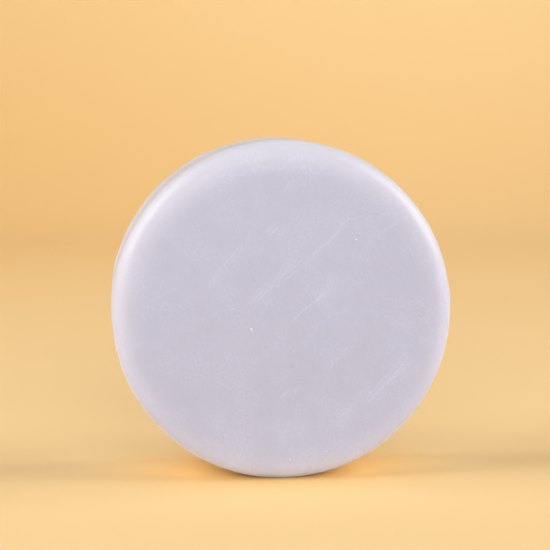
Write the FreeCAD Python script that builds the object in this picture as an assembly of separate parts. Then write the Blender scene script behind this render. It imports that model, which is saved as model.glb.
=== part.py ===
"""Shaving soap puck: one cast bar of hard soap, standing on its rim.

Frame, in millimetres: +Z up, +Y along the puck's axis from the front face to the
poured back. The origin is the middle of the small flat that the puck stands on.
"""
import FreeCAD, Part

import math
import os

OUT_DIR = "parts"

# The bar. The front came out of the bottom of its mould and the back was poured open.
PUCK_DIAMETER = 70.0
PUCK_THICKNESS = 25.0

# Front edge: a gentle roll-off round the flat face runs into a rounded shoulder.
ROLL_RADIUS = 26.0
ROLL_TURN_DEG = 9.0
SHOULDER_RADIUS = 4.2

# Poured back: a level land all round a shallow dish that sank as the soap set.
BACK_EDGE_RADIUS = 0.6
BACK_LAND_WIDTH = 3.4
BACK_DISH_DEPTH = 0.5

# The flat on the rim that keeps the puck from rolling when it stands on edge.
STANDING_FLAT_WIDTH = 7.0

PUCK_RADIUS = PUCK_DIAMETER / 2
FRONT_Y = -PUCK_THICKNESS / 2
BACK_Y = PUCK_THICKNESS / 2
AXIS_HEIGHT = math.sqrt(PUCK_RADIUS**2 - (STANDING_FLAT_WIDTH / 2) ** 2)

AXIS_POINT = FreeCAD.Vector(0, 0, AXIS_HEIGHT)
AXIS_DIRECTION = FreeCAD.Vector(0, 1, 0)


def profile_point(radius, y):
    """A point of the half section: its distance from the puck's axis, and its Y."""
    return FreeCAD.Vector(radius, y, AXIS_HEIGHT)


def arc_point(centre, arc_radius, turn_deg):
    """The point of a front edge arc where its surface has turned this far from facing front."""
    turn = math.radians(turn_deg)
    return centre + FreeCAD.Vector(math.sin(turn), -math.cos(turn), 0) * arc_radius


def front_edge():
    """The roll-off and the shoulder, tangent to the face, to each other and to the side wall."""
    shoulder_centre = profile_point(PUCK_RADIUS - SHOULDER_RADIUS, 0)
    roll_past_shoulder = ROLL_RADIUS - SHOULDER_RADIUS
    roll_turn = math.radians(ROLL_TURN_DEG)
    shoulder_centre.y = FRONT_Y + ROLL_RADIUS - roll_past_shoulder * math.cos(roll_turn)
    roll_centre = profile_point(
        shoulder_centre.x - roll_past_shoulder * math.sin(roll_turn), FRONT_Y + ROLL_RADIUS
    )
    roll = Part.Arc(
        arc_point(roll_centre, ROLL_RADIUS, 0),
        arc_point(roll_centre, ROLL_RADIUS, ROLL_TURN_DEG / 2),
        arc_point(roll_centre, ROLL_RADIUS, ROLL_TURN_DEG),
    )
    shoulder = Part.Arc(
        arc_point(shoulder_centre, SHOULDER_RADIUS, ROLL_TURN_DEG),
        arc_point(shoulder_centre, SHOULDER_RADIUS, (ROLL_TURN_DEG + 90) / 2),
        arc_point(shoulder_centre, SHOULDER_RADIUS, 90),
    )
    return [roll.toShape(), shoulder.toShape()]


def back_edge():
    """The small round between the side wall and the land on the back."""
    centre = profile_point(PUCK_RADIUS - BACK_EDGE_RADIUS, BACK_Y - BACK_EDGE_RADIUS)
    corner = [
        centre + FreeCAD.Vector(math.cos(turn), math.sin(turn), 0) * BACK_EDGE_RADIUS
        for turn in (0, math.pi / 4, math.pi / 2)
    ]
    return Part.Arc(*corner).toShape()


def back_dish(dish_radius):
    """The dish's half arc, from its rim to its lowest point on the axis."""
    sphere_radius = (dish_radius**2 + BACK_DISH_DEPTH**2) / (2 * BACK_DISH_DEPTH)
    half_way = dish_radius / 2
    half_way_depth = BACK_DISH_DEPTH - sphere_radius + math.sqrt(sphere_radius**2 - half_way**2)
    return Part.Arc(
        profile_point(dish_radius, BACK_Y),
        profile_point(half_way, BACK_Y - half_way_depth),
        profile_point(0, BACK_Y - BACK_DISH_DEPTH),
    ).toShape()


def line(start, end):
    """A straight edge of the half section."""
    return Part.LineSegment(start, end).toShape()


def half_section():
    """The face that turns about the axis to make the bar."""
    roll, shoulder = front_edge()
    rear_round = back_edge()
    dish_radius = PUCK_RADIUS - BACK_EDGE_RADIUS - BACK_LAND_WIDTH
    dish = back_dish(dish_radius)
    face_middle = profile_point(0, FRONT_Y)
    edges = [
        line(face_middle, roll.firstVertex().Point),
        roll,
        shoulder,
        line(shoulder.lastVertex().Point, rear_round.firstVertex().Point),
        rear_round,
        line(rear_round.lastVertex().Point, profile_point(dish_radius, BACK_Y)),
        dish,
        line(dish.lastVertex().Point, face_middle),
    ]
    return Part.Face(Part.Wire(edges))


def below_the_table():
    """A block under the plane that the puck stands on, larger than the puck all round."""
    return Part.makeBox(
        2 * PUCK_DIAMETER,
        2 * PUCK_THICKNESS,
        PUCK_DIAMETER,
        FreeCAD.Vector(-PUCK_DIAMETER, -PUCK_THICKNESS, -PUCK_DIAMETER),
    )


def soap_puck():
    """The whole bar, with its standing flat cut."""
    turned = half_section().revolve(AXIS_POINT, AXIS_DIRECTION, 360)
    return turned.cut(below_the_table())


def main():
    """Writes the bar's STEP file, and prints its size and volume."""
    os.makedirs(OUT_DIR, exist_ok=True)
    puck = soap_puck().Solids[0]
    puck.exportStep(os.path.join(OUT_DIR, "soap_puck.step"))
    box = puck.optimalBoundingBox()
    print(f"soap_puck {box.XLength:.2f} x {box.YLength:.2f} x {box.ZLength:.2f} mm")
    print(f"bottom {box.ZMin:.4f} mm, volume {puck.Volume / 1000:.2f} cm3, valid {puck.isValid()}")


main()
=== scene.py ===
"""Visual model of a shaving soap puck: one waxy, pale lilac bar that stands on its rim.

Lengths are in millimetres until MM turns them into metres for a mesh, a light or the camera.
The puck's axis runs along +Y, from its front face at low Y to its poured back at high Y, and
+Z is up. A place on the puck is given by its reach, the distance from the axis; its bearing,
the angle round the axis from +X towards +Z; and its lean, how far its surface has turned
from facing front: 0 degrees on the front face, 90 on the side wall and 180 on the back.
"""
import itertools
import logging
import math
from dataclasses import dataclass, field
from enum import Enum

import bpy
import numpy as np
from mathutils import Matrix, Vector


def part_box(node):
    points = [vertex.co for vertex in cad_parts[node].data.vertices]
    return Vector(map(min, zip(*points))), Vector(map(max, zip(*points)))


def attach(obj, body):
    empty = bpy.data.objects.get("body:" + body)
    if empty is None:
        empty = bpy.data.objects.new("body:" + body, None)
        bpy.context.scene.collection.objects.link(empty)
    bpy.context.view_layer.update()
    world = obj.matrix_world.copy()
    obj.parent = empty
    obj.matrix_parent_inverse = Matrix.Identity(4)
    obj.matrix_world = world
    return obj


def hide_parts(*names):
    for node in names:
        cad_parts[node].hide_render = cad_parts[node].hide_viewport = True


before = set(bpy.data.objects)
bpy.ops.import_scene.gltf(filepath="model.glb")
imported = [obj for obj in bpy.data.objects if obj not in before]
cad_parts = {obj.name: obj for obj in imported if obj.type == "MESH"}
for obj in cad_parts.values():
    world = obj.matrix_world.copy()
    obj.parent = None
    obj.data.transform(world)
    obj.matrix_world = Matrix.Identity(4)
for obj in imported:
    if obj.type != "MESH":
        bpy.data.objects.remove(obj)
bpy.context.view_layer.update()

LOG = logging.getLogger("soap_puck")

MM = 0.001
NODE = "soap_puck"
BODY = "root"

Colour = tuple[float, float, float]
Place = tuple[float, float]


# --- Shared mathematics -----------------------------------------------------------------


def smoothstep(low: float, high: float, value: np.ndarray) -> np.ndarray:
    """An S-shaped ramp: 0 below low, 1 above high, and 3t^2 - 2t^3 in between.

    Args:
        low: Where the ramp starts.
        high: Where the ramp ends. It may be less than low, for a ramp that falls.
        value: The values to ramp.

    Returns:
        The ramp's height at each value.
    """
    t = np.clip((value - low) / (high - low), 0, 1)
    return t * t * (3 - 2 * t)


def lattice_values(lattice: np.ndarray, seed: int) -> np.ndarray:
    """A repeatable random value for each whole-numbered lattice point.

    Each coordinate is multiplied by its own large odd number, and the bits of the sum are
    folded over themselves twice.

    Args:
        lattice: Whole numbers, one row of three for each point.
        seed: A number that picks one of many such patterns.

    Returns:
        A value from 0 to 1 for each row.
    """
    rows = (lattice & 0xFFFFFFFF).astype(np.uint64)
    odd_numbers = np.array([374761393, 668265263, 2246822519], dtype=np.uint64)
    key = ((rows * odd_numbers).sum(axis=1) + np.uint64(seed * 3266489917)) & np.uint64(0xFFFFFFFF)
    key = ((key ^ (key >> np.uint64(15))) * np.uint64(2246822519)) & np.uint64(0xFFFFFFFF)
    key = ((key ^ (key >> np.uint64(13))) * np.uint64(3266489917)) & np.uint64(0xFFFFFFFF)
    key ^= key >> np.uint64(16)
    return key.astype(float) / 2**32


def noise(points: np.ndarray, cell: float, seed: int) -> np.ndarray:
    """Smooth random bumps: lattice values at the corners of cubes, blended by an S-curve.

    Args:
        points: Places in millimetres, one row of three for each.
        cell: The cubes' side, which is about the size of a bump.
        seed: Picks the pattern. Each use of this function has a seed of its own.

    Returns:
        A value from -1 to 1 for each point.
    """
    scaled = points / cell
    base = np.floor(scaled).astype(np.int64)
    blend = smoothstep(0, 1, scaled - base)
    total = np.zeros(len(points))
    for corner in itertools.product((0, 1), repeat=3):
        weight = np.prod(np.where(corner, blend, 1 - blend), axis=1)
        total += weight * lattice_values(base + np.array(corner), seed)
    return 2 * total - 1


def disc_grid(cells: int) -> tuple[np.ndarray, np.ndarray]:
    """A square grid bent into a disc of radius 1, so that its rim has evenly spaced points.

    A point (a, b) of the square goes to the circle whose radius is the larger of |a| and
    |b|. Where |a| is larger, its angle is b/a eighths of a turn; elsewhere it is a quarter
    turn less a/b eighths.

    Args:
        cells: The number of cells along each side, an even number.

    Returns:
        The x and z of each point, as two square arrays.
    """
    side = np.linspace(-1, 1, cells + 1)
    a, b = np.meshgrid(side, side, indexing="ij")
    wide = np.abs(a) >= np.abs(b)
    radius = np.where(wide, a, b)
    top, bottom = np.where(wide, b, a), np.where(radius == 0, 1, radius)
    turn = np.pi / 4 * top / bottom
    turn = np.where(wide, turn, np.pi / 2 - turn)
    return radius * np.cos(turn), radius * np.sin(turn)


def rim_loop(index: np.ndarray) -> np.ndarray:
    """The indices round a square array's rim, by bearing, from an eighth of a turn before +X."""
    return np.concatenate([index[-1, :-1], index[:0:-1, -1], index[0, :0:-1], index[:-1, 0]])


def grid_faces(index: np.ndarray) -> np.ndarray:
    """Four-sided faces between neighbouring rows and columns of an array of indices."""
    corners = [index[:-1, :-1], index[:-1, 1:], index[1:, 1:], index[1:, :-1]]
    return np.stack([corner.ravel() for corner in corners], axis=1)


def ring_faces(index: np.ndarray) -> np.ndarray:
    """Four-sided faces between rings of indices, each of which closes on itself."""
    return grid_faces(np.concatenate([index, index[:, :1]], axis=1))


# --- Putting arrays into Blender --------------------------------------------------------


@dataclass
class Shell:
    """A closed surface as arrays: points in millimetres, faces, and a mask per point."""

    points: np.ndarray
    quads: np.ndarray
    triangles: np.ndarray = field(default_factory=lambda: np.zeros((0, 3), dtype=int))
    masks: dict[str, np.ndarray] = field(default_factory=dict)

    def to_object(self, name: str) -> bpy.types.Object:
        """Makes a smooth-shaded Blender mesh object, at the origin, with its masks as attributes.

        Args:
            name: The object's name and its mesh's.

        Returns:
            The new object, linked to the scene.
        """
        mesh = bpy.data.meshes.new(name)
        loops = np.concatenate([self.quads.ravel(), self.triangles.ravel()])
        sides = np.concatenate([np.full(len(self.quads), 4), np.full(len(self.triangles), 3)])
        mesh.vertices.add(len(self.points))
        mesh.vertices.foreach_set("co", (self.points * MM).astype(np.float32).ravel())
        mesh.loops.add(len(loops))
        mesh.loops.foreach_set("vertex_index", loops.astype(np.int32))
        mesh.polygons.add(len(sides))
        mesh.polygons.foreach_set("loop_start", (np.cumsum(sides) - sides).astype(np.int32))
        mesh.polygons.foreach_set("use_smooth", np.ones(len(sides), dtype=bool))
        mesh.update(calc_edges=True)
        mesh.validate()
        for mask, values in self.masks.items():
            attribute = mesh.attributes.new(mask, "FLOAT", "POINT")
            attribute.data.foreach_set("value", values.astype(np.float32))
        made = bpy.data.objects.new(name, mesh)
        bpy.context.scene.collection.objects.link(made)
        return made


class Mask(Enum):
    """The per-point masks that the shape gives to the finish."""

    RUB = "rub"
    BLOOM = "bloom"
    # Wear whitening, mixed with painted highlight on the shoulder, the lower edge and the rear rim.
    WEAR_AND_HIGHLIGHT = "wear_and_highlight"
    # Where painted shade darkens the pinholes and burst bubbles.
    PAINTED_PIT_SHADE = "pit"
    POUR = "pour"


# --- The marks on the bar ---------------------------------------------------------------


@dataclass(frozen=True)
class RubMark:
    """A band of fine parallel scratches, rubbed into the face as the bar was handled.

    Attributes:
        start: Millimetres right of and above the puck's centre where the band starts.
        end: The same for where it ends.
        width: How wide the band is.
        strands: How many scratches lie side by side in it.
        depth: How deep the scratches are.
        bloom: How far the rubbed soap has whitened, from 0 to 1.
        groove_width: Half of how wide each scratch is.
        ridge_offset: How far beside it its ridge runs.
    """

    start: Place
    end: Place
    width: float
    strands: int
    depth: float
    bloom: float
    groove_width: float = 0.17
    ridge_offset: float = 0.36

    def band(self, points: np.ndarray) -> tuple[np.ndarray, np.ndarray]:
        """Where points lie in the mark's own directions.

        Args:
            points: Places on the puck, with its axis at height 0.

        Returns:
            How far along the mark each is, as a share of it, and how far to its left side.
        """
        right, above = points[:, 0] - self.start[0], points[:, 2] - self.start[1]
        run = np.subtract(self.end, self.start)
        length = float(np.hypot(*run))
        ahead = (right * run[0] + above * run[1]) / length
        aside = (above * run[0] - right * run[1]) / length
        return ahead / length, aside

    def pressed(self, points: np.ndarray) -> np.ndarray:
        """How strongly the mark is rubbed in.

        It is a plateau along the mark with soft ends, which noise frays, times a bell
        across it.

        Args:
            points: Places on the puck, with its axis at height 0.

        Returns:
            A value from 0 to 1 for each point.
        """
        share, aside = self.band(points)
        fray = noise(points, 1.7, 31)
        along = smoothstep(-0.08, 0.2, share + 0.08 * fray) * smoothstep(1.08, 0.75, share - 0.08 * fray)
        across = np.exp(-((aside / (0.5 * self.width)) ** 2))
        return along * across

    def scratches(self, points: np.ndarray) -> np.ndarray:
        """The relief of the scratches.

        Each strand is a narrow bell-shaped valley beside a lower ridge of pushed-up soap. It
        lies at its own offset, wavers a little, and fades in and out along its length.

        Args:
            points: Places on the puck, with its axis at height 0.

        Returns:
            The height of each point in millimetres, negative in a valley.
        """
        share, aside = self.band(points)
        random = np.random.default_rng(int(1000 * (abs(self.start[0]) + abs(self.end[1]))))
        height = np.zeros(len(points))
        for strand in range(self.strands):
            offset = self.width * ((strand + 0.5) / self.strands - 0.5) + random.normal(0, 0.05)
            first, last = np.sort(random.uniform(-0.05, 1.05, 2) * 0.5 + (0, 0.5))
            waver = 0.12 * noise(points, 5.0, 40 + strand)
            away = aside - offset - waver
            ends = smoothstep(first - 0.06, first + 0.06, share) * smoothstep(last + 0.06, last - 0.06, share)
            valley = np.exp(-((away / self.groove_width) ** 2))
            ridge = 0.55 * np.exp(-(((away - self.ridge_offset) / 0.2) ** 2))
            height += self.depth * ends * (ridge - valley)
        return height


@dataclass(frozen=True)
class Pit:
    """A pinhole where a bubble of air met the mould: a bell-shaped hollow.

    Attributes:
        place: Millimetres right of and above the puck's centre.
        radius: Where the hollow is still about a third as deep as in its middle.
        depth: How deep it is in its middle.
    """

    place: Place
    radius: float
    depth: float

    def bell(self, points: np.ndarray) -> np.ndarray:
        """1 at the pit's middle, falling to almost 0 at twice its radius."""
        squared = (points[:, 0] - self.place[0]) ** 2 + (points[:, 2] - self.place[1]) ** 2
        return np.exp(-squared / self.radius**2)


@dataclass(frozen=True)
class RimMark:
    """A nick or a ragged lump on the puck's outline.

    Attributes:
        bearing: Where on the outline it is, in degrees from +X towards +Z.
        length: How long it is along the outline, in millimetres.
        height: How far it stands proud, or, if negative, how deep it is cut.
    """

    bearing: float
    length: float
    height: float

    def bell(self, bearing: np.ndarray, radius: float) -> np.ndarray:
        """A bell along the outline, 1 at the mark's middle."""
        turn = (np.degrees(bearing) - self.bearing + 180) % 360 - 180
        return np.exp(-((np.radians(turn) * radius / (0.5 * self.length)) ** 2))


RUB_MARKS = [
    RubMark((-16.1, 4.5), (-6.6, 16.2), width=1.1, strands=3, depth=0.034, bloom=0.05),
    RubMark((-11.2, 10.8), (-7.6, 14.1), width=1.6, strands=3, depth=0.024, bloom=0.07),
    RubMark((-7.1, 1.9), (3.9, 11.3), width=1.9, strands=4, depth=0.026, bloom=0.07),
    RubMark((5.3, 11.1), (12.1, 17.4), width=0.7, strands=2, depth=0.036, bloom=0.13),
    RubMark((11.4, 17.2), (13.5, 20.1), width=1.5, strands=3, depth=0.030, bloom=0.07),
    RubMark((-5.3, -0.7), (-2.4, 2.9), width=0.7, strands=2, depth=0.032, bloom=0.07),
    RubMark((1.9, -1.8), (7.2, 4.3), width=0.9, strands=3, depth=0.036, bloom=0.07),
    RubMark((5.7, 2.3), (10.6, 5.9), width=2.8, strands=4, depth=0.016, bloom=0.05),
    RubMark((8.5, -11.6), (14.2, -6.6), width=1.0, strands=3, depth=0.034, bloom=0.07),
    RubMark((16.3, -19.0), (26.2, -9.7), width=2.3, strands=5, depth=0.030, bloom=0.08),
    RubMark((11.7, -21.5), (18.9, -15.2), width=1.8, strands=3, depth=0.018, bloom=0.04),
    RubMark((20.2, 16.3), (24.0, 18.9), width=0.7, strands=2, depth=0.030, bloom=0.06),
    RubMark((-0.9, -17.5), (3.1, -15.7), width=1.0, strands=2, depth=0.022, bloom=0.05),
    RubMark((-6.7, 29.1), (5.2, 29.7), width=1.3, strands=3, depth=0.034, bloom=0.07),
    RubMark((-0.3, 30.8), (6.4, 31.4), width=0.9, strands=2, depth=0.028, bloom=0.05),
    RubMark((-10.9, 29.6), (-10.7, 26.5), width=0.5, strands=1, depth=0.034, bloom=0.06),
    RubMark((-0.2, 24.7), (2.3, 26.8), width=1.1, strands=2, depth=0.020, bloom=0.11),
    RubMark((-3.7, 16.1), (-1.5, 17.8), width=1.6, strands=2, depth=0.018, bloom=0.11),
]

FACE_PITS = [
    Pit((-6.4, 6.6), radius=0.36, depth=0.06),
    Pit((1.5, -11.0), radius=0.38, depth=0.07),
    Pit((-3.9, -7.1), radius=0.26, depth=0.05),
]

FRONT_RIM_MARKS = [
    RimMark(bearing=195.0, length=1.5, height=-0.26),
    RimMark(bearing=4.5, length=2.0, height=0.16),
    RimMark(bearing=292.0, length=3.0, height=-0.05),
]

REAR_RIM_MARKS = [
    RimMark(bearing=134.5, length=2.8, height=0.15),
    RimMark(bearing=117.5, length=3.0, height=0.10),
    RimMark(bearing=154.0, length=2.4, height=0.08),
    RimMark(bearing=166.0, length=2.6, height=0.10),
    RimMark(bearing=143.0, length=2.6, height=-0.05),
]


# --- The bar ----------------------------------------------------------------------------


@dataclass(frozen=True)
class PuckProfile:
    """The bar's half section, as stations along its skin from the front face to the back.

    Attributes:
        radius: The side wall's distance from the axis.
        front: The front face's Y.
        back: The back's Y at its land.
        roll_radius: The gentle curve that leaves the flat face.
        roll_turn: How far that curve turns, in degrees.
        shoulder_radius: The rounded shoulder between the roll and the side wall.
        edge_radius: The small round at the back.
        land_width: The level ring round the back.
        dish_depth: How far the middle of the back sank as the soap set.
    """

    radius: float
    front: float
    back: float
    roll_radius: float = 26.0
    roll_turn: float = 9.0
    shoulder_radius: float = 4.2
    edge_radius: float = 0.6
    land_width: float = 3.4
    dish_depth: float = 0.5

    @property
    def flat_reach(self) -> float:
        """Where the flat face ends and the roll starts."""
        past_shoulder = self.roll_radius - self.shoulder_radius
        return self.radius - self.shoulder_radius - past_shoulder * math.sin(math.radians(self.roll_turn))

    @property
    def shoulder_centre_y(self) -> float:
        """The Y of the shoulder arc's centre, which is also where the side wall starts."""
        past_shoulder = self.roll_radius - self.shoulder_radius
        return self.front + self.roll_radius - past_shoulder * math.cos(math.radians(self.roll_turn))

    @property
    def dish_reach(self) -> float:
        """The radius of the dish's rim."""
        return self.radius - self.edge_radius - self.land_width

    def dish_y(self, reach: np.ndarray) -> np.ndarray:
        """The back's Y inside the dish, a parabola that is deepest on the axis."""
        return self.back - self.dish_depth * (1 - (reach / self.dish_reach) ** 2)

    def face_y(self, reach: np.ndarray) -> np.ndarray:
        """The front's Y: a level flat, then the roll's arc, then the shoulder's.

        Args:
            reach: Distances from the axis, less than the radius.

        Returns:
            The Y of the front surface at each of them.
        """
        roll_end = self.flat_reach + self.roll_radius * math.sin(math.radians(self.roll_turn))
        out = np.clip(reach - self.flat_reach, 0, None)
        roll = self.front + self.roll_radius - np.sqrt(self.roll_radius**2 - out**2)
        round_out = np.clip(reach - (self.radius - self.shoulder_radius), 0, self.shoulder_radius)
        shoulder = self.shoulder_centre_y - np.sqrt(self.shoulder_radius**2 - round_out**2)
        return np.where(reach < roll_end, roll, shoulder)

    def arc(self, centre: Place, radius: float, turns: np.ndarray) -> np.ndarray:
        """Stations on an arc: reach, y and lean, with the lean pointing away from the centre."""
        lean = np.radians(turns)
        return np.stack([centre[0] + radius * np.sin(lean), centre[1] - radius * np.cos(lean), lean], axis=1)

    def front_stations(self, patch_reach: float, roll_rings: int, shoulder_rings: int) -> np.ndarray:
        """Stations from the front patch's rim to the start of the side wall.

        Args:
            patch_reach: The front patch's radius.
            roll_rings: How many rings lie on the roll.
            shoulder_rings: How many lie on the shoulder.

        Returns:
            One row for each ring: its reach, its y and its lean in radians.
        """
        flat_rings = 3
        flat = np.linspace(patch_reach, self.flat_reach, flat_rings, endpoint=False)
        flat_part = np.stack([flat, np.full_like(flat, self.front), np.zeros_like(flat)], axis=1)
        roll_turns = np.linspace(0, self.roll_turn, roll_rings, endpoint=False)
        roll = self.arc((self.flat_reach, self.front + self.roll_radius), self.roll_radius, roll_turns)
        shoulder_turns = np.linspace(self.roll_turn, 90, shoulder_rings)
        centre = (self.radius - self.shoulder_radius, self.shoulder_centre_y)
        return np.concatenate([flat_part, roll, self.arc(centre, self.shoulder_radius, shoulder_turns)])

    def rear_stations(self, patch_reach: float, wall_rings: int, land_rings: int) -> np.ndarray:
        """Stations from just past the shoulder, along the wall and round to the back patch.

        Args:
            patch_reach: The back patch's radius.
            wall_rings: How many rings lie on the side wall.
            land_rings: How many lie on the land.

        Returns:
            One row for each ring: its reach, its y and its lean in radians.
        """
        edge_rings, dish_rings = 6, 4
        edge_y = self.back - self.edge_radius
        wall_y = np.linspace(self.shoulder_centre_y, edge_y, wall_rings + 1)[1:-1]
        wall = np.stack([np.full_like(wall_y, self.radius), wall_y, np.full_like(wall_y, np.pi / 2)], axis=1)
        edge_turns = np.linspace(90, 180, edge_rings)
        edge = self.arc((self.radius - self.edge_radius, edge_y), self.edge_radius, edge_turns)
        land_reach = np.linspace(self.radius - self.edge_radius, self.dish_reach, land_rings + 1)[1:]
        dish_reach = np.linspace(self.dish_reach, patch_reach, dish_rings + 1)[1:]
        inner_reach = np.concatenate([land_reach, dish_reach])
        inner_y = np.where(inner_reach < self.dish_reach, self.dish_y(inner_reach), self.back)
        inner = np.stack([inner_reach, inner_y, np.full_like(inner_y, np.pi)], axis=1)
        return np.concatenate([wall, edge, inner])


@dataclass
class SoapPuck:
    """The bar itself: a disc patch in front, rings round the side, and a disc patch at the back.

    Attributes:
        profile: The half section that is turned about the axis.
        axis_height: How high the axis lies above the table.
        front_cells: Cells across the front patch. The rings there have four times as many.
        flat_margin: How much narrower the front patch is than the flat face.
        back_cells: Cells across the back patch, half of front_cells.
        back_patch: The back patch's radius.
        roll_rings: Rings of points on the roll.
        shoulder_rings: Rings on the shoulder.
        wall_rings: Steps along the side wall.
        land_rings: Rings on the land.
    """

    profile: PuckProfile
    axis_height: float
    front_cells: int = 190
    flat_margin: float = 0.9
    back_cells: int = 95
    back_patch: float = 29.0
    roll_rings: int = 12
    shoulder_rings: int = 22
    wall_rings: int = 37
    land_rings: int = 8

    @property
    def front_patch(self) -> float:
        """The front patch's radius."""
        return self.profile.flat_reach - self.flat_margin

    def shell(self) -> Shell:
        """The whole skin, with its marks and its masks.

        Points are first laid on the turned profile. Each is then moved along its own
        outward direction by the height of the marks there, and no point goes below the
        table, which makes the flat that the puck stands on.

        Returns:
            The closed shell.
        """
        points, leans, quads, triangles = self.turned_skin()
        outward = self.outward(points, leans)
        heights, masks = SurfaceMarks(self.profile).measure(points, leans)
        points = points + outward * heights[:, None]
        points[:, 2] = np.maximum(points[:, 2] + self.axis_height, 0)
        return Shell(points, quads, triangles, masks)

    def outward(self, points: np.ndarray, leans: np.ndarray) -> np.ndarray:
        """Which way the smooth bar's surface faces.

        Args:
            points: Places on the bar, with its axis at height 0.
            leans: How far the surface has turned from facing front there, in radians.

        Returns:
            A unit vector for each point.
        """
        bearing = np.arctan2(points[:, 2], points[:, 0])
        out, front = np.sin(leans), np.cos(leans)
        return np.stack([out * np.cos(bearing), -front, out * np.sin(bearing)], axis=1)

    def patch(self, cells: int, radius: float) -> np.ndarray:
        """A disc of points at Y 0, one row of three for each."""
        x, z = disc_grid(cells)
        return np.stack([x.ravel() * radius, np.zeros(x.size), z.ravel() * radius], axis=1)

    def rings(self, stations: np.ndarray, count: int) -> np.ndarray:
        """Rings of points: each station carried round the axis in equal steps.

        Args:
            stations: One row for each ring, which starts with its reach and its y.
            count: The steps round each ring.

        Returns:
            The points, ring after ring.
        """
        turn = -np.pi / 4 + 2 * np.pi * np.arange(count) / count
        reach, y = stations[:, :1], stations[:, 1:2]
        across = np.ones_like(turn)
        return np.stack([reach * np.cos(turn), y * across, reach * np.sin(turn)], axis=2).reshape(-1, 3)

    def turned_skin(self) -> tuple[np.ndarray, np.ndarray, np.ndarray, np.ndarray]:
        """The smooth bar, with its axis at height 0.

        Returns:
            The points, their leans, the four-sided faces and the three-sided faces.
        """
        fine, coarse = 4 * self.front_cells, 4 * self.back_cells
        front = self.patch(self.front_cells, self.front_patch)
        front[:, 1] = self.profile.front
        back = self.patch(self.back_cells, self.back_patch)
        back[:, 1] = self.profile.dish_y(np.hypot(back[:, 0], back[:, 2]))
        near = self.profile.front_stations(self.front_patch, self.roll_rings, self.shoulder_rings)[1:]
        far = self.profile.rear_stations(self.back_patch, self.wall_rings, self.land_rings)[:-1]
        parts = [front, self.rings(near, fine), self.rings(far, coarse), back]
        leans = [
            np.zeros(len(front)),
            np.repeat(near[:, 2], fine),
            np.repeat(far[:, 2], coarse),
            np.full(len(back), np.pi),
        ]
        starts = np.cumsum([0] + [len(part) for part in parts])
        front_index = np.arange(len(front)).reshape(self.front_cells + 1, -1)
        near_index = starts[1] + np.arange(len(near) * fine).reshape(len(near), fine)
        far_index = starts[2] + np.arange(len(far) * coarse).reshape(len(far), coarse)
        back_index = starts[3] + np.arange(len(back)).reshape(self.back_cells + 1, -1)
        near_rings = np.concatenate([rim_loop(front_index)[None], near_index])
        far_rings = np.concatenate([far_index, rim_loop(back_index)[None]])
        quads = np.concatenate([
            grid_faces(front_index)[:, ::-1],
            ring_faces(near_rings)[:, ::-1],
            ring_faces(far_rings)[:, ::-1],
            grid_faces(back_index),
        ])
        triangles = self.halving_faces(near_index[-1], far_index[0])
        return np.concatenate(parts), np.concatenate(leans), quads, triangles

    def halving_faces(self, fine: np.ndarray, coarse: np.ndarray) -> np.ndarray:
        """Three-sided faces between a ring and one with half as many points.

        For each coarse step there are three: one on each fine step's edge, and one on the
        coarse edge between them.

        Args:
            fine: The indices of the ring with more points.
            coarse: Those of the other ring, whose first point has the same bearing.

        Returns:
            The faces, one row of three indices for each.
        """
        first, middle, last = fine[0::2], fine[1::2], np.roll(fine[0::2], -1)
        here, following = coarse, np.roll(coarse, -1)
        faces = [(first, here, middle), (here, following, middle), (middle, following, last)]
        return np.concatenate([np.stack(face, axis=1) for face in faces])


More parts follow.
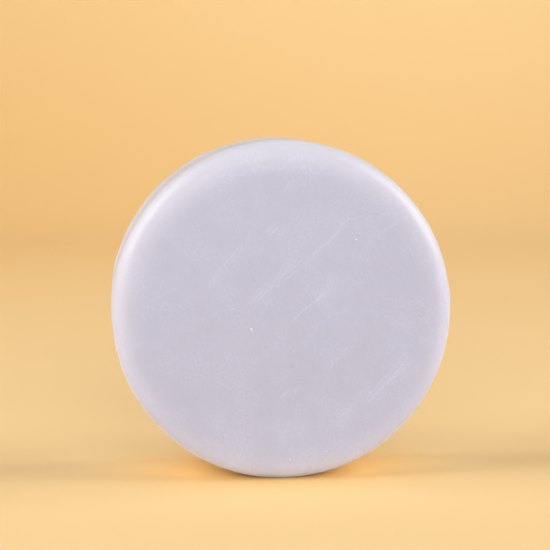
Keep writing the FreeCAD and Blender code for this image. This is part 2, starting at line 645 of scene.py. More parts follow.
@dataclass(frozen=True)
class SurfaceMarks:
    """Everything that makes the cast bar differ from its turned profile.

    Attributes:
        profile: The bar's half section.
        wear_and_highlight_width: How far the whitened edge, worn and painted with highlight, reaches,
            measured outwards from the flat face.
        brightest_bearing: Where the painted highlight on the whitened edge is strongest, in degrees.
        ragged_height: How far the ragged rear edge stands proud.
        pour_place: Where the soap was poured, right of and above the axis.
        ripple_spacing: From one ripple of the pour to the next.
        ripple_height: How far a ripple rises and sinks.
        bubbles: How many burst bubbles the back has.
        bubble_reach: How far from the axis they lie at the most.
    """

    profile: PuckProfile
    wear_and_highlight_width: float = 7.0
    brightest_bearing: float = 120.0
    ragged_height: float = 0.09
    pour_place: Place = (7.0, -5.0)
    ripple_spacing: float = 6.4
    ripple_height: float = 0.10
    bubbles: int = 34
    bubble_reach: float = 31.0

    def measure(self, points: np.ndarray, leans: np.ndarray) -> tuple[np.ndarray, dict[str, np.ndarray]]:
        """The height of the skin above the smooth bar, and the masks for its finish.

        Args:
            points: Places on the smooth bar, with its axis at height 0.
            leans: How far the surface has turned from facing front there, in radians.

        Returns:
            The heights in millimetres, and each mask by name.
        """
        degrees = np.degrees(leans)
        reach = np.hypot(points[:, 0], points[:, 2])
        bearing = np.arctan2(points[:, 2], points[:, 0])
        on_front = smoothstep(50, 10, degrees)
        on_back = smoothstep(150, 178, degrees)
        heights = self.casting(points)
        face_height, rub, bloom, pit = self.face(points)
        heights += on_front * face_height
        heights += self.shoulder(points, degrees, bearing)
        heights += self.wall(points, degrees)
        rear_height, rear_wear_and_highlight = self.rear_rim(points, degrees, bearing)
        heights += rear_height
        back_height, back_pit = self.poured_back(points, reach)
        heights += on_back * back_height
        # Whitening of the worn edges, mixed with painted highlight.
        wear_and_highlight = self.wear_and_highlight_edge(points, reach, degrees, bearing)
        masks = {
            Mask.RUB.value: np.clip(on_front * rub, 0, 1),
            Mask.BLOOM.value: np.clip(on_front * bloom, 0, 1),
            Mask.WEAR_AND_HIGHLIGHT.value: np.clip(np.maximum(wear_and_highlight, rear_wear_and_highlight), 0, 1),
            Mask.PAINTED_PIT_SHADE.value: np.clip(on_front * pit + on_back * back_pit, 0, 1),
            Mask.POUR.value: on_back,
        }
        return heights, masks

    def wear_and_highlight_edge(
        self, points: np.ndarray, reach: np.ndarray, degrees: np.ndarray, bearing: np.ndarray
    ) -> np.ndarray:
        """How far the worn shoulder and the side wall have whitened, partly by wear and partly as painted
        highlight.

        It grows steadily outwards over the last few millimetres of the face and over the
        shoulder, stops short where the side wall starts, and comes back along the wall. A
        cosine of the bearing makes it strongest at the upper left, as painted highlight where
        the most light falls. Low down, the outermost edge and the wall are whitened as well,
        as painted highlight of the light thrown up from the paper.

        Args:
            points: Places on the smooth bar, with its axis at height 0.
            reach: Their distances from the axis.
            degrees: Their leans.
            bearing: Their bearings, in radians.

        Returns:
            A value from 0 to 1 for each point.
        """
        # Painted highlight: the whitening is strongest at the upper left, where most light falls.
        lit_side = 0.62 + 0.20 * np.cos(bearing - math.radians(self.brightest_bearing))
        across = np.clip((reach - self.profile.flat_reach - 0.2) / self.wear_and_highlight_width, 0, 1) ** 1.5
        past_shoulder = points[:, 1] - self.profile.shoulder_centre_y
        wall = 0.12 + 0.75 * smoothstep(3.0, 16.0, past_shoulder) + 0.10 * noise(points, 5.0, 65)
        off_shoulder = smoothstep(-0.3, 0.9, past_shoulder)
        worn = 0.72 * lit_side * across * (1 - off_shoulder * (1 - wall))
        # Painted highlight along the lower edge and wall, standing in for light thrown up from the paper.
        lower_edge_highlight = 0.95 * smoothstep(50, 74, degrees) * smoothstep(0.3, -0.4, np.sin(bearing))
        return np.maximum(worn, lower_edge_highlight) * smoothstep(175, 110, degrees)

    def casting(self, points: np.ndarray) -> np.ndarray:
        """The slow unevenness of a bar that shrank as it set: four sizes of noise."""
        heights_and_cells = ((0.06, 28.0), (0.030, 11.0), (0.012, 4.5), (0.004, 1.6))
        layers = enumerate(heights_and_cells, start=1)
        return sum(height * noise(points, cell, seed) for seed, (height, cell) in layers)

    def face(self, points: np.ndarray) -> tuple[np.ndarray, np.ndarray, np.ndarray, np.ndarray]:
        """The rubbed front: scratches, pinholes and patches of bloom.

        Args:
            points: Places on the smooth bar, with its axis at height 0.

        Returns:
            The height, and how rubbed, how bloomed and how pitted the face is.
        """
        height, rub, bloom, pit = (np.zeros(len(points)) for _ in range(4))
        for mark in RUB_MARKS:
            pressed = mark.pressed(points)
            height += mark.scratches(points)
            rub = np.maximum(rub, pressed)
            bloom = np.maximum(bloom, mark.bloom * pressed)
        for hole in FACE_PITS:
            bell = hole.bell(points)
            height -= hole.depth * bell
            pit = np.maximum(pit, bell)
        return height, rub, bloom, pit

    def shoulder(self, points: np.ndarray, degrees: np.ndarray, bearing: np.ndarray) -> np.ndarray:
        """The worn shoulder: soft dents, and the nicks and lumps on the front outline.

        Args:
            points: Places on the smooth bar, with its axis at height 0.
            degrees: Their leans.
            bearing: Their bearings, in radians.

        Returns:
            The height of each point.
        """
        on_shoulder = smoothstep(15, 45, degrees) * smoothstep(100, 86, degrees)
        height = 0.05 * noise(points, 7.0, 11) + 0.025 * noise(points, 2.6, 12)
        past_shoulder = points[:, 1] - self.profile.shoulder_centre_y
        at_outline = smoothstep(50, 80, degrees) * smoothstep(4.0, 0.5, past_shoulder)
        height = height * on_shoulder
        for mark in FRONT_RIM_MARKS:
            height += mark.height * mark.bell(bearing, self.profile.radius) * at_outline
        return height

    def wall(self, points: np.ndarray, degrees: np.ndarray) -> np.ndarray:
        """Drag lines along the side wall, left as the bar was pushed out of its mould.

        They are noise that is stretched along Y, deeper in some places than in others.

        Args:
            points: Places on the smooth bar, with its axis at height 0.
            degrees: Their leans.

        Returns:
            The height of each point.
        """
        on_wall = smoothstep(80, 90, degrees) * smoothstep(100, 90, degrees)
        stretched = points * np.array([1.0, 0.06, 1.0])
        lines = 0.035 * noise(stretched, 1.3, 21) + 0.05 * noise(stretched, 3.1, 22)
        worn = 0.4 + 0.6 * smoothstep(-0.3, 0.5, noise(points, 12.0, 23))
        return on_wall * worn * lines

    def rear_rim(
        self, points: np.ndarray, degrees: np.ndarray, bearing: np.ndarray
    ) -> tuple[np.ndarray, np.ndarray]:
        """The ragged edge where the poured soap met the rim of its mould.

        Args:
            points: Places on the smooth bar, with its axis at height 0.
            degrees: Their leans.
            bearing: Their bearings, in radians.

        Returns:
            The height of the raggedness, and how far the thin soap there is whitened, partly by wear and
            partly as painted highlight.
        """
        from_edge = self.profile.back - points[:, 1]
        outer = smoothstep(60, 90, degrees) * smoothstep(172, 120, degrees)
        near_edge = outer * smoothstep(1.9, 0.5, from_edge)
        ragged = smoothstep(-0.15, 0.75, noise(points, 2.4, 61)) * (0.5 + 0.5 * noise(points, 9.0, 62))
        height = self.ragged_height * ragged + 0.035 * noise(points, 1.1, 63) - 0.02
        for mark in REAR_RIM_MARKS:
            height += mark.height * mark.bell(bearing, self.profile.radius)
        # The thin rear edge's whitening, partly wear and partly painted highlight.
        wear_and_highlight = 0.95 * near_edge * (0.85 + 0.15 * noise(points, 3.0, 64))
        return near_edge * height, wear_and_highlight

    def poured_back(self, points: np.ndarray, reach: np.ndarray) -> tuple[np.ndarray, np.ndarray]:
        """The open-poured back: ripples round the pour, a raised rim, and burst bubbles.

        The ripples are a sine of the distance from where the soap was poured, bent by
        noise. The rim is a bell at the edge of the land, where the soap clung to the mould.
        A burst bubble is a bell-shaped hollow inside a low lip.

        Args:
            points: Places on the smooth bar, with its axis at height 0.
            reach: Their distances from the axis.

        Returns:
            The height, and how pitted the back is.
        """
        from_pour = np.hypot(points[:, 0] - self.pour_place[0], points[:, 2] - self.pour_place[1])
        bent = from_pour + 3.2 * noise(points, 13.0, 71) + 0.8 * noise(points, 4.0, 72)
        fade = smoothstep(30, 6, from_pour) + 0.25
        height = self.ripple_height * fade * np.sin(2 * np.pi * bent / self.ripple_spacing)
        height += 0.05 * noise(points, 8.0, 73) + 0.03 * noise(points, 2.8, 74)
        clung = np.exp(-(((reach - self.profile.radius + 1.1) / 0.8) ** 2))
        height += 0.26 * clung * (0.75 + 0.35 * noise(points, 6.0, 75))
        pit = np.zeros(len(points))
        random = np.random.default_rng(7)
        for _ in range(self.bubbles):
            away = self.bubble_reach * math.sqrt(random.uniform())
            turn = random.uniform(0, 2 * math.pi)
            size = random.uniform(0.45, 1.15)
            right = points[:, 0] - away * math.cos(turn)
            above = points[:, 2] - away * math.sin(turn)
            squared = right**2 + above**2
            bell = np.exp(-squared / size**2)
            lip = np.exp(-(((np.sqrt(squared) - 1.7 * size) / (0.5 * size)) ** 2))
            height += size * (0.06 * lip - 0.30 * bell)
            pit = np.maximum(pit, bell)
        return height, pit


# --- Crumbs -----------------------------------------------------------------------------


@dataclass(frozen=True)
class Crumb:
    """A crumb of dry soap that clings to the front.

    Attributes:
        place: Millimetres right of and above the puck's centre.
        size: How wide it is, before it is squashed.
    """

    place: Place
    size: float


NAMED_CRUMBS = [
    Crumb((-6.8, -3.3), 0.62),
    Crumb((-6.6, -3.6), 0.36),
    Crumb((-10.7, 0.9), 0.50),
    Crumb((-7.8, 30.6), 0.50),
    Crumb((14.6, 14.7), 0.46),
    Crumb((8.7, -28.8), 0.42),
    Crumb((9.4, -29.4), 0.34),
    Crumb((7.9, -29.9), 0.28),
    Crumb((9.2, -27.7), 0.24),
    Crumb((10.8, -21.7), 0.38),
    Crumb((1.1, -30.4), 0.52),
    Crumb((28.1, 1.0), 0.42),
    Crumb((-6.2, -31.7), 0.50),
    Crumb((8.9, 14.1), 0.26),
]


@dataclass
class SoapCrumbs:
    """The crumbs on the front face: a few listed ones and a sprinkle of dust.

    Attributes:
        profile: The bar that they lie on.
        axis_height: How high the puck's axis lies.
        dust: How many grains of dust are sprinkled.
        dust_reach: How far from the axis they lie at the most.
        smallest_dust: The width of the smallest grain.
        largest_dust: The width of the largest.
    """

    profile: PuckProfile
    axis_height: float
    dust: int = 60
    dust_reach: float = 33.0
    smallest_dust: float = 0.09
    largest_dust: float = 0.18

    def grain(self) -> tuple[np.ndarray, np.ndarray]:
        """A ball of radius 1: an octahedron whose faces are cut in four and pushed out.

        Returns:
            Its 18 points and its 32 three-sided faces.
        """
        tips = np.array([[1, 0, 0], [0, 1, 0], [0, 0, 1], [-1, 0, 0], [0, -1, 0], [0, 0, -1]], dtype=float)
        octants = np.array([
            [0, 1, 2], [1, 3, 2], [3, 4, 2], [4, 0, 2], [1, 0, 5], [3, 1, 5], [4, 3, 5], [0, 4, 5],
        ])
        edges = np.concatenate([octants[:, [0, 1]], octants[:, [1, 2]], octants[:, [2, 0]]])
        unique, where = np.unique(np.sort(edges, axis=1), axis=0, return_inverse=True)
        middles = tips[unique].sum(axis=1) / math.sqrt(2)
        ab, bc, ca = (len(tips) + where.reshape(3, -1))
        a, b, c = octants.T
        faces = [(a, ab, ca), (ab, b, bc), (ca, bc, c), (ab, bc, ca)]
        return np.concatenate([tips, middles]), np.concatenate([np.stack(face, axis=1) for face in faces])

    def shell(self) -> Shell:
        """All the crumbs: small closed balls, each dented, squashed and turned its own way.

        Returns:
            The balls as one shell, each half sunk into the front face.
        """
        random = np.random.default_rng(11)
        turn = random.uniform(0, 2 * np.pi, self.dust)
        away = self.dust_reach * np.sqrt(random.uniform(0, 1, self.dust))
        dust_places = np.stack([away * np.cos(turn), away * np.sin(turn)], axis=1)
        dust_sizes = random.uniform(self.smallest_dust, self.largest_dust, self.dust)
        places = np.concatenate([[crumb.place for crumb in NAMED_CRUMBS], dust_places])
        sizes = np.concatenate([[crumb.size for crumb in NAMED_CRUMBS], dust_sizes])
        ball, faces = self.grain()
        lumps = ball[None] * random.uniform(0.75, 1.2, (len(sizes), len(ball), 1))
        squash = random.uniform([0.8, 0.30, 0.8], [1.2, 0.5, 1.2], (len(sizes), 3))
        spin = random.uniform(0, 2 * np.pi, len(sizes))[:, None]
        shaped = lumps * squash[:, None] * (sizes / 2)[:, None, None]
        x = shaped[..., 0] * np.cos(spin) - shaped[..., 2] * np.sin(spin)
        z = shaped[..., 0] * np.sin(spin) + shaped[..., 2] * np.cos(spin)
        y = shaped[..., 1] + self.profile.face_y(np.hypot(*places.T))[:, None]
        points = np.stack([x + places[:, :1], y, z + places[:, 1:] + self.axis_height], axis=2)
        offsets = len(ball) * np.arange(len(sizes))
        triangles = (faces[None] + offsets[:, None, None]).reshape(-1, 3)
        return Shell(points.reshape(-1, 3), np.zeros((0, 4), dtype=int), triangles)


# --- Finishes ---------------------------------------------------------------------------


class NodeSheet:
    """A short way to lay out a material's nodes and join them up."""

    def __init__(self, name: str) -> None:
        """Starts a material with only its output node.

        Args:
            name: The material's name.
        """
        self.material = bpy.data.materials.new(name)
        self.material.use_nodes = True
        self.tree = self.material.node_tree
        self.tree.nodes.clear()
        self.output = self.tree.nodes.new("ShaderNodeOutputMaterial")

    def node(self, kind: str, settings: dict | None = None, **inputs: object) -> bpy.types.Node:
        """Adds a node, sets its options and fills its sockets.

        Args:
            kind: The node's type name.
            settings: Options of the node itself.
            **inputs: A value or another node's output for each socket, by the socket's name
                with underscores for spaces.

        Returns:
            The new node.
        """
        made = self.tree.nodes.new(kind)
        for option, value in (settings or {}).items():
            setattr(made, option, value)
        for name, value in inputs.items():
            self.fill(made.inputs[name.replace("_", " ")], value)
        return made

    def fill(self, socket: bpy.types.NodeSocket, value: object) -> None:
        """Links a socket to another node's output, or sets it to a value."""
        if isinstance(value, bpy.types.NodeSocket):
            self.tree.links.new(value, socket)
        else:
            socket.default_value = value

    def object_place(self) -> bpy.types.NodeSocket:
        """The place on the piece, in metres."""
        return self.node("ShaderNodeTexCoord").outputs["Object"]

    def mask(self, mask: Mask) -> bpy.types.NodeSocket:
        """One of the masks that the shape carries."""
        return self.node("ShaderNodeAttribute", {"attribute_name": mask.value}).outputs["Fac"]

    def texture(
        self, place: bpy.types.NodeSocket, size: float, detail: float = 2.0
    ) -> bpy.types.NodeSocket:
        """Noise from 0 to 1.

        Args:
            place: Where on the piece it is read.
            size: About how large its features are, in millimetres.
            detail: How many finer layers are added to it.

        Returns:
            The noise's output.
        """
        made = self.node("ShaderNodeTexNoise", Vector=place, Scale=1 / (size * MM), Detail=detail)
        made.inputs["Roughness"].default_value = 0.55
        return made.outputs["Fac"]

    def ramp(self, value: bpy.types.NodeSocket, low: float, high: float) -> bpy.types.NodeSocket:
        """Stretches part of a value over 0 to 1, with soft ends.

        Args:
            value: The value.
            low: What becomes 0.
            high: What becomes 1. It may be less than low, to turn the value round.

        Returns:
            The stretched value.
        """
        made = self.node("ShaderNodeMapRange", {"interpolation_type": "SMOOTHSTEP"}, Value=value)
        made.inputs["From Min"].default_value = low
        made.inputs["From Max"].default_value = high
        return made.outputs["Result"]

    def maths(self, operation: str, *values: object) -> bpy.types.NodeSocket:
        """A Math node.

        Args:
            operation: What it works out.
            *values: One, two or three numbers or outputs.

        Returns:
            The result.
        """
        made = self.node("ShaderNodeMath", {"operation": operation})
        for socket, value in zip(made.inputs, values):
            self.fill(socket, value)
        return made.outputs["Value"]

    def blend(self, share: object, first: object, second: object) -> bpy.types.NodeSocket:
        """A colour between two colours.

        A Mix node's sockets share their names, so they are picked by number: 0 is the share,
        and 6 and 7 in and 2 out are colours.

        Args:
            share: How far from the first to the second it lies, a number or an output.
            first: A colour or an output.
            second: The same.

        Returns:
            The mixed colour.
        """
        made = self.node("ShaderNodeMix", {"data_type": "RGBA"})
        for number, value in zip((0, 6, 7), (share, first, second)):
            plain = isinstance(value, (float, bpy.types.NodeSocket))
            self.fill(made.inputs[number], value if plain else (*value, 1.0))
        return made.outputs[2]

    def bump(
        self, height: bpy.types.NodeSocket, depth: float, under: bpy.types.NodeSocket | None = None
    ) -> bpy.types.NodeSocket:
        """Turns a height into a relief.

        Args:
            height: The height, from 0 to 1.
            depth: How deep the relief is, in millimetres.
            under: Another relief, which this one is laid over.

        Returns:
            The relief's normal.
        """
        made = self.node("ShaderNodeBump", Height=height, Distance=depth * MM)
        if under is not None:
            self.fill(made.inputs["Normal"], under)
        return made.outputs["Normal"]

    def finish(self, shader: bpy.types.Node) -> bpy.types.Material:
        """Joins the shader to the output and hands the material over."""
        self.tree.links.new(shader.outputs["BSDF"], self.output.inputs["Surface"])
        return self.material


@dataclass(frozen=True)
class SoapFinish:
    """Hard milled soap: waxy, faintly clouded, with bloom where it was rubbed.

    Attributes:
        deep: The clear soap's colour.
        pale: The clouded soap's colour.
        bloom: The dry, whitened soap on scratches and specks.
        worn: The whitened soap of the worn edges, also used as painted highlight on the shoulder, the lower
            edge and the rear rim.
        painted_pit_shade: Painted shade inside a pinhole or a burst bubble.
        freckling: How far freckles whiten the soap, from 0 to 1.
        streaking: How far the streaks inside a rub mark do.
        grain: How far the fine grain does, in the patches where the skin is dull.
        speckling: How far the pinpoint specks do.
        roughness: The skin's roughness, on average.
        glaze: How much of a smooth, waxy film lies over it, which gleams at a glancing angle.
        glaze_roughness: That film's roughness.
        ior: The soap's index of refraction.
        depth: How much of the light goes into the soap and comes out elsewhere.
        scatter: How far light travels inside, in millimetres, for red, green and blue.
        cloud_size: The size of the slow clouds in the soap, in millimetres.
        patch_size: That of the dull patches.
        freckle_size: That of the freckles.
        pore_size: That of the skin's pores.
        grain_size: That of the fine grain.
        speck_spacing: How far apart the cells are that may hold a speck.
        streak_length: How long a streak is.
        streak_width: How wide it is.
    """

    deep: Colour = (0.542, 0.537, 0.625)
    pale: Colour = (0.558, 0.553, 0.644)
    bloom: Colour = (0.745, 0.738, 0.860)
    worn: Colour = (0.800, 0.768, 0.775)
    painted_pit_shade: Colour = (0.400, 0.388, 0.458)
    freckling: float = 0.05
    streaking: float = 0.22
    grain: float = 0.21
    speckling: float = 0.28
    roughness: float = 0.46
    glaze: float = 0.20
    glaze_roughness: float = 0.36
    ior: float = 1.46
    depth: float = 0.85
    scatter: Colour = (4.0, 3.4, 3.8)
    cloud_size: float = 15.0
    patch_size: float = 6.5
    freckle_size: float = 1.9
    pore_size: float = 1.6
    grain_size: float = 0.5
    speck_spacing: float = 1.5
    streak_length: float = 5.0
    streak_width: float = 0.36

    def build(self) -> bpy.types.Material:
        """Makes the material.

        Colour is the clear soap, clouded by slow noise and whitened along the worn edges, partly by wear and
        partly as painted highlight.
        It is then whitened by freckles, by fine grain in dull patches and rub marks, by the
        bloom mask, by streaks inside the rub mask and by pinpoint specks, and last darkened
        with painted shade in the pits. Roughness and relief follow the same patterns.

        Returns:
            The material.
        """
        sheet = NodeSheet("milled_soap")
        place = sheet.object_place()
        cloud = sheet.ramp(sheet.texture(place, self.cloud_size, 3.0), 0.36, 0.66)
        freckle = sheet.ramp(sheet.texture(place, self.freckle_size, 5.0), 0.44, 0.72)
        masks = (Mask.RUB, Mask.BLOOM, Mask.WEAR_AND_HIGHLIGHT, Mask.PAINTED_PIT_SHADE)
        rub, bloom, wear_and_highlight, pit = (sheet.mask(mask) for mask in masks)
        patch = sheet.ramp(sheet.texture(place, self.patch_size), 0.42, 0.62)
        dull = sheet.maths("ADD", sheet.maths("MULTIPLY_ADD", patch, 0.7, 0.3), rub)
        dull = sheet.maths("MINIMUM", dull, 1.0)
        fine = sheet.ramp(sheet.texture(place, self.grain_size), 0.36, 0.66)
        grain = sheet.maths("MULTIPLY", fine, dull)
        rubbed = sheet.maths("MULTIPLY", rub, self.streaks(sheet, place))
        dusty = sheet.maths("MULTIPLY_ADD", freckle, self.freckling, bloom)
        dusty = sheet.maths("MULTIPLY_ADD", grain, self.grain, dusty)
        dusty = sheet.maths("MULTIPLY_ADD", rubbed, self.streaking, dusty)
        dusty = sheet.maths("MAXIMUM", dusty, self.specks(sheet, place))
        body = sheet.blend(cloud, self.deep, self.pale)
        # Partly wear, partly painted highlight: the edges whiten most at the upper left, along the lower edge
        # and on the rear rim.
        body = sheet.blend(wear_and_highlight, body, self.worn)
        body = sheet.blend(sheet.maths("MINIMUM", dusty, 1.0), body, self.bloom)
        # Painted shade in the pinholes and burst bubbles.
        body = sheet.blend(sheet.maths("MULTIPLY", pit, 0.35), body, self.painted_pit_shade)
        relief = sheet.bump(grain, 0.010)
        relief = sheet.bump(sheet.texture(place, self.pore_size), 0.012, relief)
        relief = sheet.bump(rubbed, 0.045, relief)
        rough = sheet.maths("MULTIPLY_ADD", freckle, 0.12, self.roughness - 0.04)
        rough = sheet.maths("MULTIPLY_ADD", sheet.mask(Mask.POUR), -0.08, rough)
        shader = sheet.node("ShaderNodeBsdfPrincipled", Base_Color=body, Roughness=rough, Normal=relief)
        shader.inputs["IOR"].default_value = self.ior
        shader.inputs["Coat Weight"].default_value = self.glaze
        shader.inputs["Coat Roughness"].default_value = self.glaze_roughness
        shader.inputs["Subsurface Weight"].default_value = self.depth
        shader.inputs["Subsurface Radius"].default_value = self.scatter
        shader.inputs["Subsurface Scale"].default_value = MM
        return sheet.finish(shader)

    def streaks(self, sheet: NodeSheet, place: bpy.types.NodeSocket) -> bpy.types.NodeSocket:
        """Fine lines that run from lower left to upper right across the face.

        Args:
            sheet: The material's sheet.
            place: Where on the piece they are read.

        Returns:
            1 on a line and 0 beside it.
        """
        turned = sheet.node("ShaderNodeMapping", {"vector_type": "TEXTURE"}, Vector=place)
        turned.inputs["Rotation"].default_value = (0.0, math.radians(-45), 0.0)
        along, across = self.streak_length * MM, self.streak_width * MM
        turned.inputs["Scale"].default_value = (along, along, across)
        lines = sheet.node("ShaderNodeTexNoise", Vector=turned.outputs["Vector"], Scale=1.0, Detail=2.0)
        return sheet.ramp(lines.outputs["Fac"], 0.48, 0.60)

    def specks(self, sheet: NodeSheet, place: bpy.types.NodeSocket) -> bpy.types.NodeSocket:
        """Pinpoint specks: dots at the heart of a fifth of the cells of a cellular pattern.

        Args:
            sheet: The material's sheet.
            place: Where on the piece they are read.

        Returns:
            How far each place is whitened by a speck.
        """
        cells = sheet.node("ShaderNodeTexVoronoi", Vector=place, Scale=1 / (self.speck_spacing * MM))
        dot = sheet.ramp(cells.outputs["Distance"], 0.11, 0.05)
        chosen = sheet.node("ShaderNodeSeparateColor", Color=cells.outputs["Color"])
        some = sheet.maths("GREATER_THAN", chosen.outputs["Red"], 0.80)
        return sheet.maths("MULTIPLY", sheet.maths("MULTIPLY", dot, some), self.speckling)


@dataclass(frozen=True)
class CrumbFinish:
    """Dry crumbs of the same soap, whiter and rougher than the bar.

    Attributes:
        colour: A crumb's colour.
        shaded: The same as painted shade in its hollows.
        roughness: Its roughness.
        grain_size: The size of its grain, in millimetres.
    """

    colour: Colour = (0.800, 0.785, 0.850)
    shaded: Colour = (0.730, 0.715, 0.790)
    roughness: float = 0.7
    grain_size: float = 0.12

    def build(self) -> bpy.types.Material:
        """Makes the material: two tones and a relief, both from the same fine noise.

        Returns:
            The material.
        """
        sheet = NodeSheet("dry_soap_crumb")
        place = sheet.object_place()
        grain = sheet.texture(place, self.grain_size)
        # Painted shade: darker where the grain's relief is low.
        colour = sheet.blend(grain, self.shaded, self.colour)
        relief = sheet.bump(grain, 0.02)
        shader = sheet.node("ShaderNodeBsdfPrincipled", Base_Color=colour, Normal=relief)
        shader.inputs["Roughness"].default_value = self.roughness
        shader.inputs["Subsurface Weight"].default_value = 0.3
        shader.inputs["Subsurface Radius"].default_value = (0.3, 0.25, 0.3)
        shader.inputs["Subsurface Scale"].default_value = MM
        return sheet.finish(shader)


@dataclass(frozen=True)
class PaperFinish:
    """The studio's plain, pale apricot paper.

    Attributes:
        colour: The paper's colour.
        shaded: Its slightly deeper mottle.
        painted_crease_shade: Painted shade, warmer and deeper, where something stands on it.
        painted_shade_reach: How far from that thing the painted shade fades out, in millimetres.
        bounce: The tone of the light that it throws back onto the soap, toned down as by a
            white card, so that the soap keeps its own colour.
        near_bounce: The same close to what stands on it, where the card doesn't reach.
        mirrored: The tone in which it shows as a reflection in something glossy.
        far: Painted shade far off, where the floor turns up into the wall: a deeper tone where less light
            falls.
        roughness: The paper's roughness.
        mottle_size: The size of its mottle, in millimetres.
    """

    colour: Colour = (0.950, 0.660, 0.310)
    shaded: Colour = (0.938, 0.648, 0.300)
    painted_crease_shade: Colour = (0.985, 0.570, 0.180)
    painted_shade_reach: float = 16.0
    bounce: Colour = (0.720, 0.630, 0.610)
    near_bounce: Colour = (0.990, 0.820, 0.640)
    mirrored: Colour = (0.960, 0.720, 0.450)
    far: Colour = (0.945, 0.585, 0.220)
    roughness: float = 0.85
    mottle_size: float = 40.0

    def build(self) -> bpy.types.Material:
        """Makes the material.

        What is seen is a plain colour with a faint mottle, deepened far off by painted falloff
        shade and warmed and darkened by painted shade near what stands on it. Light that bounces off the
        paper, and its reflection, have their own tones.

        Returns:
            The material.
        """
        sheet = NodeSheet("apricot_paper")
        place = sheet.object_place()
        mottle = sheet.texture(place, self.mottle_size, 3.0)
        colour = sheet.blend(mottle, self.shaded, self.colour)
        # Painted shade: the paper deepens far off, less up the wall and to the right.
        colour = sheet.blend(self.falloff_shade_share(sheet, place), colour, self.far)
        opening = sheet.node("ShaderNodeAmbientOcclusion", Distance=self.painted_shade_reach * MM)
        # Painted shade near what stands on the paper, from ambient occlusion.
        colour = sheet.blend(opening.outputs["AO"], self.painted_crease_shade, colour)
        openness = sheet.ramp(opening.outputs["AO"], 0.60, 1.00)
        bounce = sheet.blend(openness, self.near_bounce, self.bounce)
        seen_by = sheet.node("ShaderNodeLightPath")
        colour = sheet.blend(seen_by.outputs["Is Diffuse Ray"], colour, bounce)
        colour = sheet.blend(seen_by.outputs["Is Glossy Ray"], colour, self.mirrored)
        shader = sheet.node("ShaderNodeBsdfPrincipled", Base_Color=colour)
        shader.inputs["Roughness"].default_value = self.roughness
        shader.inputs["Specular IOR Level"].default_value = 0.2
        return sheet.finish(shader)

    def falloff_shade_share(self, sheet: NodeSheet, place: bpy.types.NodeSocket) -> bpy.types.NodeSocket:
        """How strong the painted falloff shade is: it grows away from the middle, less so up the wall and
        rightwards.

        Args:
            sheet: The material's sheet.
            place: Where on the paper it is read, in metres.

        Returns:
            0 for the near tone and 1 for the far one.
        """
        parts = sheet.node("ShaderNodeSeparateXYZ", Vector=place)
        away = sheet.node("ShaderNodeVectorMath", {"operation": "LENGTH"})
        sheet.fill(away.inputs[0], place)
        distance = sheet.ramp(away.outputs["Value"], 0.09, 0.60)
        height = sheet.ramp(parts.outputs["Z"], 0.03, 0.20)
        right = sheet.ramp(parts.outputs["X"], -0.16, 0.20)
        eased = sheet.maths("MULTIPLY_ADD", height, -0.45, 1.0)
        eased = sheet.maths("MULTIPLY_ADD", right, -0.45, eased)
        return sheet.maths("MULTIPLY", distance, sheet.maths("MAXIMUM", eased, 0.0))


# --- The studio -------------------------------------------------------------------------


@dataclass(frozen=True)
class PaperSweep:
    """A round paper sweep: a level floor that curves up to a low wall all round.

    Attributes:
        floor_radius: Where the floor starts to curve up.
        cove_radius: The radius of the curve.
        wall_height: How high the wall goes on above the curve.
        hub_radius: The innermost ring's radius.
        floor_rings: Rings of points on the floor.
        cove_steps: Rings along the curve.
        spokes: Points round each ring.
    """

    floor_radius: float = 620.0
    cove_radius: float = 420.0
    wall_height: float = 160.0
    hub_radius: float = 0.5
    floor_rings: int = 40
    cove_steps: int = 23
    spokes: int = 144

    def shell(self) -> Shell:
        """The sweep as a turned profile: floor rings, a quarter circle and a wall.

        Returns:
            The sheet of paper, which is open at its top edge.
        """
        level = np.linspace(self.hub_radius, self.floor_radius, self.floor_rings)
        floor = np.stack([level, np.zeros_like(level)], axis=1)
        turn = np.linspace(0, np.pi / 2, self.cove_steps + 1)[1:]
        cove = np.stack([
            self.floor_radius + self.cove_radius * np.sin(turn),
            self.cove_radius * (1 - np.cos(turn)),
        ], axis=1)
        top = np.array([[self.floor_radius + self.cove_radius, self.cove_radius + self.wall_height]])
        outline = np.concatenate([floor, cove, top])
        round_turn = np.linspace(0, 2 * np.pi, self.spokes, endpoint=False)
        x = outline[:, :1] * np.cos(round_turn)
        y = outline[:, :1] * np.sin(round_turn)
        z = outline[:, 1:] * np.ones_like(round_turn)
        index = 1 + np.arange(x.size).reshape(x.shape)
        hub = np.stack([np.zeros_like(index[0]), index[0], np.roll(index[0], -1)], axis=1)
        points = np.concatenate([np.zeros((1, 3)), np.stack([x, y, z], axis=2).reshape(-1, 3)])
        return Shell(points, ring_faces(index)[:, ::-1], hub)


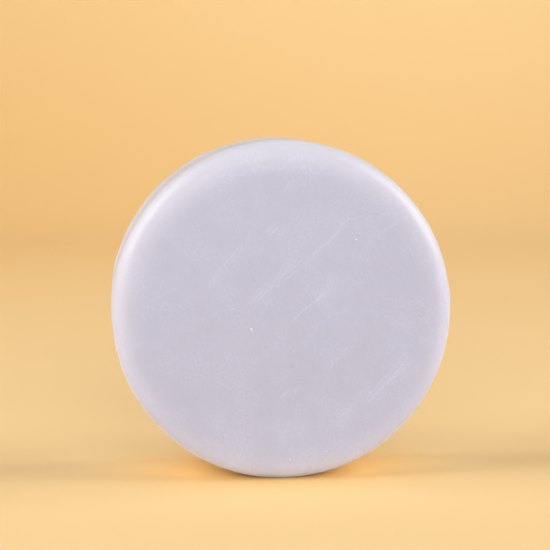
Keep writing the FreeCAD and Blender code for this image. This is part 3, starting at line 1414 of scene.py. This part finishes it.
@dataclass(frozen=True)
class Softbox:
    """A square area light that looks at the puck, or at the paper behind it.

    Attributes:
        name: The light's name.
        azimuth: Degrees to the right of straight in front. Negative is to the left.
        elevation: Degrees above the horizon.
        distance: Millimetres from the puck.
        size: Its side in millimetres.
        watts: Its power.
        aim_behind: How far behind the puck it looks, in millimetres.
        aim_above: How far above the puck's middle it looks.
        colour: Its colour.
    """

    name: str
    azimuth: float
    elevation: float
    distance: float
    size: float
    watts: float
    aim_behind: float = 0.0
    aim_above: float = 0.0
    colour: Colour = (1.0, 1.0, 1.0)

    def place(self, target: Vector) -> bpy.types.Object:
        """Makes the light, sets it round the puck and aims it.

        Args:
            target: The puck's middle, in metres.

        Returns:
            The light's object.
        """
        turn, rise = math.radians(self.azimuth), math.radians(self.elevation)
        towards = Vector((math.sin(turn) * math.cos(rise), -math.cos(turn) * math.cos(rise), math.sin(rise)))
        lamp = bpy.data.lights.new(self.name, "AREA")
        lamp.shape = "SQUARE"
        lamp.size = self.size * MM
        lamp.energy = self.watts
        lamp.color = self.colour
        made = bpy.data.objects.new(self.name, lamp)
        made.visible_camera = False
        made.location = target + towards * self.distance * MM
        aim = target + Vector((0, self.aim_behind, self.aim_above)) * MM
        made.rotation_euler = (aim - made.location).to_track_quat("-Z", "Y").to_euler()
        bpy.context.scene.collection.objects.link(made)
        return made


@dataclass(frozen=True)
class Viewpoint:
    """The camera: a little to the left of the puck's axis and a little above it.

    Attributes:
        azimuth: Degrees to the right of straight in front. Negative is to the left.
        elevation: Degrees above the middle of the front face.
        distance: Millimetres from the middle of the front face.
        focal_length: The lens, for a sensor 36 mm wide.
        aim_right: How far right of that middle the camera looks.
        aim_above: How far above it.
    """

    azimuth: float = -6.1
    elevation: float = 7.0
    distance: float = 340.0
    focal_length: float = 109.46
    aim_right: float = -1.98
    aim_above: float = 7.62

    def place(self, middle: Vector) -> bpy.types.Object:
        """Makes the scene's camera.

        Args:
            middle: The middle of the front face, in metres.

        Returns:
            The camera object.
        """
        turn, rise = math.radians(self.azimuth), math.radians(self.elevation)
        away = Vector((math.sin(turn) * math.cos(rise), -math.cos(turn) * math.cos(rise), math.sin(rise)))
        aim = middle + Vector((self.aim_right, 0, self.aim_above)) * MM
        lens = bpy.data.cameras.new("camera")
        lens.lens = self.focal_length
        lens.sensor_width = 36.0
        lens.clip_start = 0.01
        lens.clip_end = 20.0
        made = bpy.data.objects.new("camera", lens)
        made.location = middle + away * self.distance * MM
        made.rotation_euler = (aim - made.location).to_track_quat("-Z", "Y").to_euler()
        bpy.context.scene.collection.objects.link(made)
        bpy.context.scene.camera = made
        return made


@dataclass
class Studio:
    """The plain floor, the soft lights, the sky light and the camera.

    Attributes:
        sweep: The paper that the puck stands on.
        viewpoint: The camera.
        sky: The colour of the light from all round.
        sky_strength: Its strength.
        softboxes: The lights.
    """

    sweep: PaperSweep = field(default_factory=PaperSweep)
    viewpoint: Viewpoint = field(default_factory=Viewpoint)
    sky: Colour = (1.0, 1.0, 1.0)
    sky_strength: float = 0.02
    softboxes: tuple[Softbox, ...] = (
        Softbox("side_left", azimuth=-84, elevation=35, distance=650, size=430, watts=2.95),
        Softbox("side_right", azimuth=84, elevation=30, distance=650, size=430, watts=3.0),
        Softbox("front", azimuth=0, elevation=15, distance=900, size=700, watts=6.4,
                colour=(0.92, 0.97, 1.0)),
        Softbox("paper_high", azimuth=180, elevation=55, distance=750, size=450, watts=1.8,
                aim_behind=1000, aim_above=150),
        Softbox("paper_right", azimuth=155, elevation=35, distance=900, size=500, watts=0.7,
                aim_behind=1040, aim_above=250),
    )

    def build(self, low: Vector, high: Vector) -> None:
        """Sets the stage round the puck.

        Args:
            low: The low corner of the puck's box, in metres.
            high: Its high corner.
        """
        floor = self.sweep.shell().to_object("paper_sweep")
        floor.data.materials.append(PaperFinish().build())
        middle = (low + high) / 2
        for softbox in self.softboxes:
            softbox.place(middle)
        world = bpy.data.worlds.new("soft_sky")
        world.use_nodes = True
        background = world.node_tree.nodes["Background"]
        background.inputs["Color"].default_value = (*self.sky, 1.0)
        background.inputs["Strength"].default_value = self.sky_strength
        bpy.context.scene.world = world
        bpy.context.scene.view_settings.view_transform = "Standard"
        self.viewpoint.place(Vector((middle.x, low.y, middle.z)))
        LOG.info("studio: paper sweep, %d softboxes and a camera", len(self.softboxes))


# --- Putting it together ----------------------------------------------------------------


def dress(piece: bpy.types.Object, material: bpy.types.Material) -> bpy.types.Object:
    """Gives a piece its material and its body.

    Args:
        piece: The finished object.
        material: Its finish.

    Returns:
        The same object.
    """
    piece.data.materials.append(material)
    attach(piece, BODY)
    LOG.info("%s: %d points, %d faces", piece.name, len(piece.data.vertices), len(piece.data.polygons))
    return piece


def main() -> None:
    """Builds the bar, its crumbs and the studio."""
    logging.basicConfig(level=logging.INFO, format="%(name)s: %(message)s")
    low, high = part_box(NODE)
    radius = (high.x - low.x) / 2 / MM
    axis_height = high.z / MM - radius
    profile = PuckProfile(radius=radius, front=low.y / MM, back=high.y / MM)
    bar = SoapPuck(profile, axis_height).shell().to_object("soap_bar")
    dress(bar, SoapFinish().build())
    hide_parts(NODE)
    crumbs = SoapCrumbs(profile, axis_height).shell().to_object("soap_crumbs")
    dress(crumbs, CrumbFinish().build())
    Studio().build(low, high)


if __name__ == "__main__":
    main()
